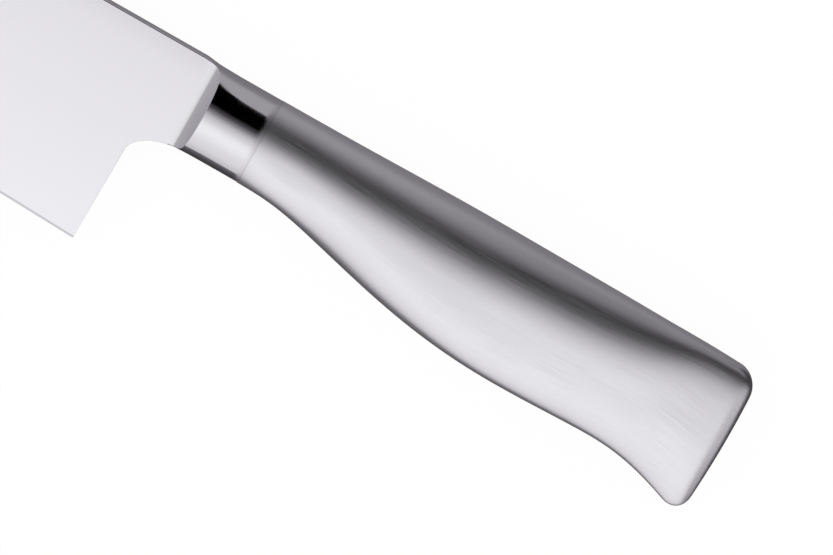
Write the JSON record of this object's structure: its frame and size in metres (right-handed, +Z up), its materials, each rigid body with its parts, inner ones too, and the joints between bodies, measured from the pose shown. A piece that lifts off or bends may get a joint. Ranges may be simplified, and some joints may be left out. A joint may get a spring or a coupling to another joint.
{
  "type": "santoku knife",
  "caption": "Santoku kitchen knife with a forged blade, polished oval bolster and hollow satin steel handle with a flared butt.",
  "frame": {"origin": "middle of the knife's box in X and Y, on the surface that the knife lies on with its left flank up", "axes": "+X from the point to the butt, +Y from the cutting edge to the spine, +Z up out of the left flank"},
  "size_m": [0.3198, 0.0486, 0.0172],
  "materials": {
    "blade_steel": "fine ground blade, mirror polished bolster",
    "handle_steel": "satin, brushed lengthwise",
    "weld_steel": "weld ground flush"
  },
  "bodies": {
    "root": {"blade_forging": "blade_steel", "bolster_weld": "weld_steel", "handle_shell_left": "handle_steel", "handle_shell_right": "handle_steel", "handle_seam_weld": "weld_steel"}
  },
  "joints": []
}
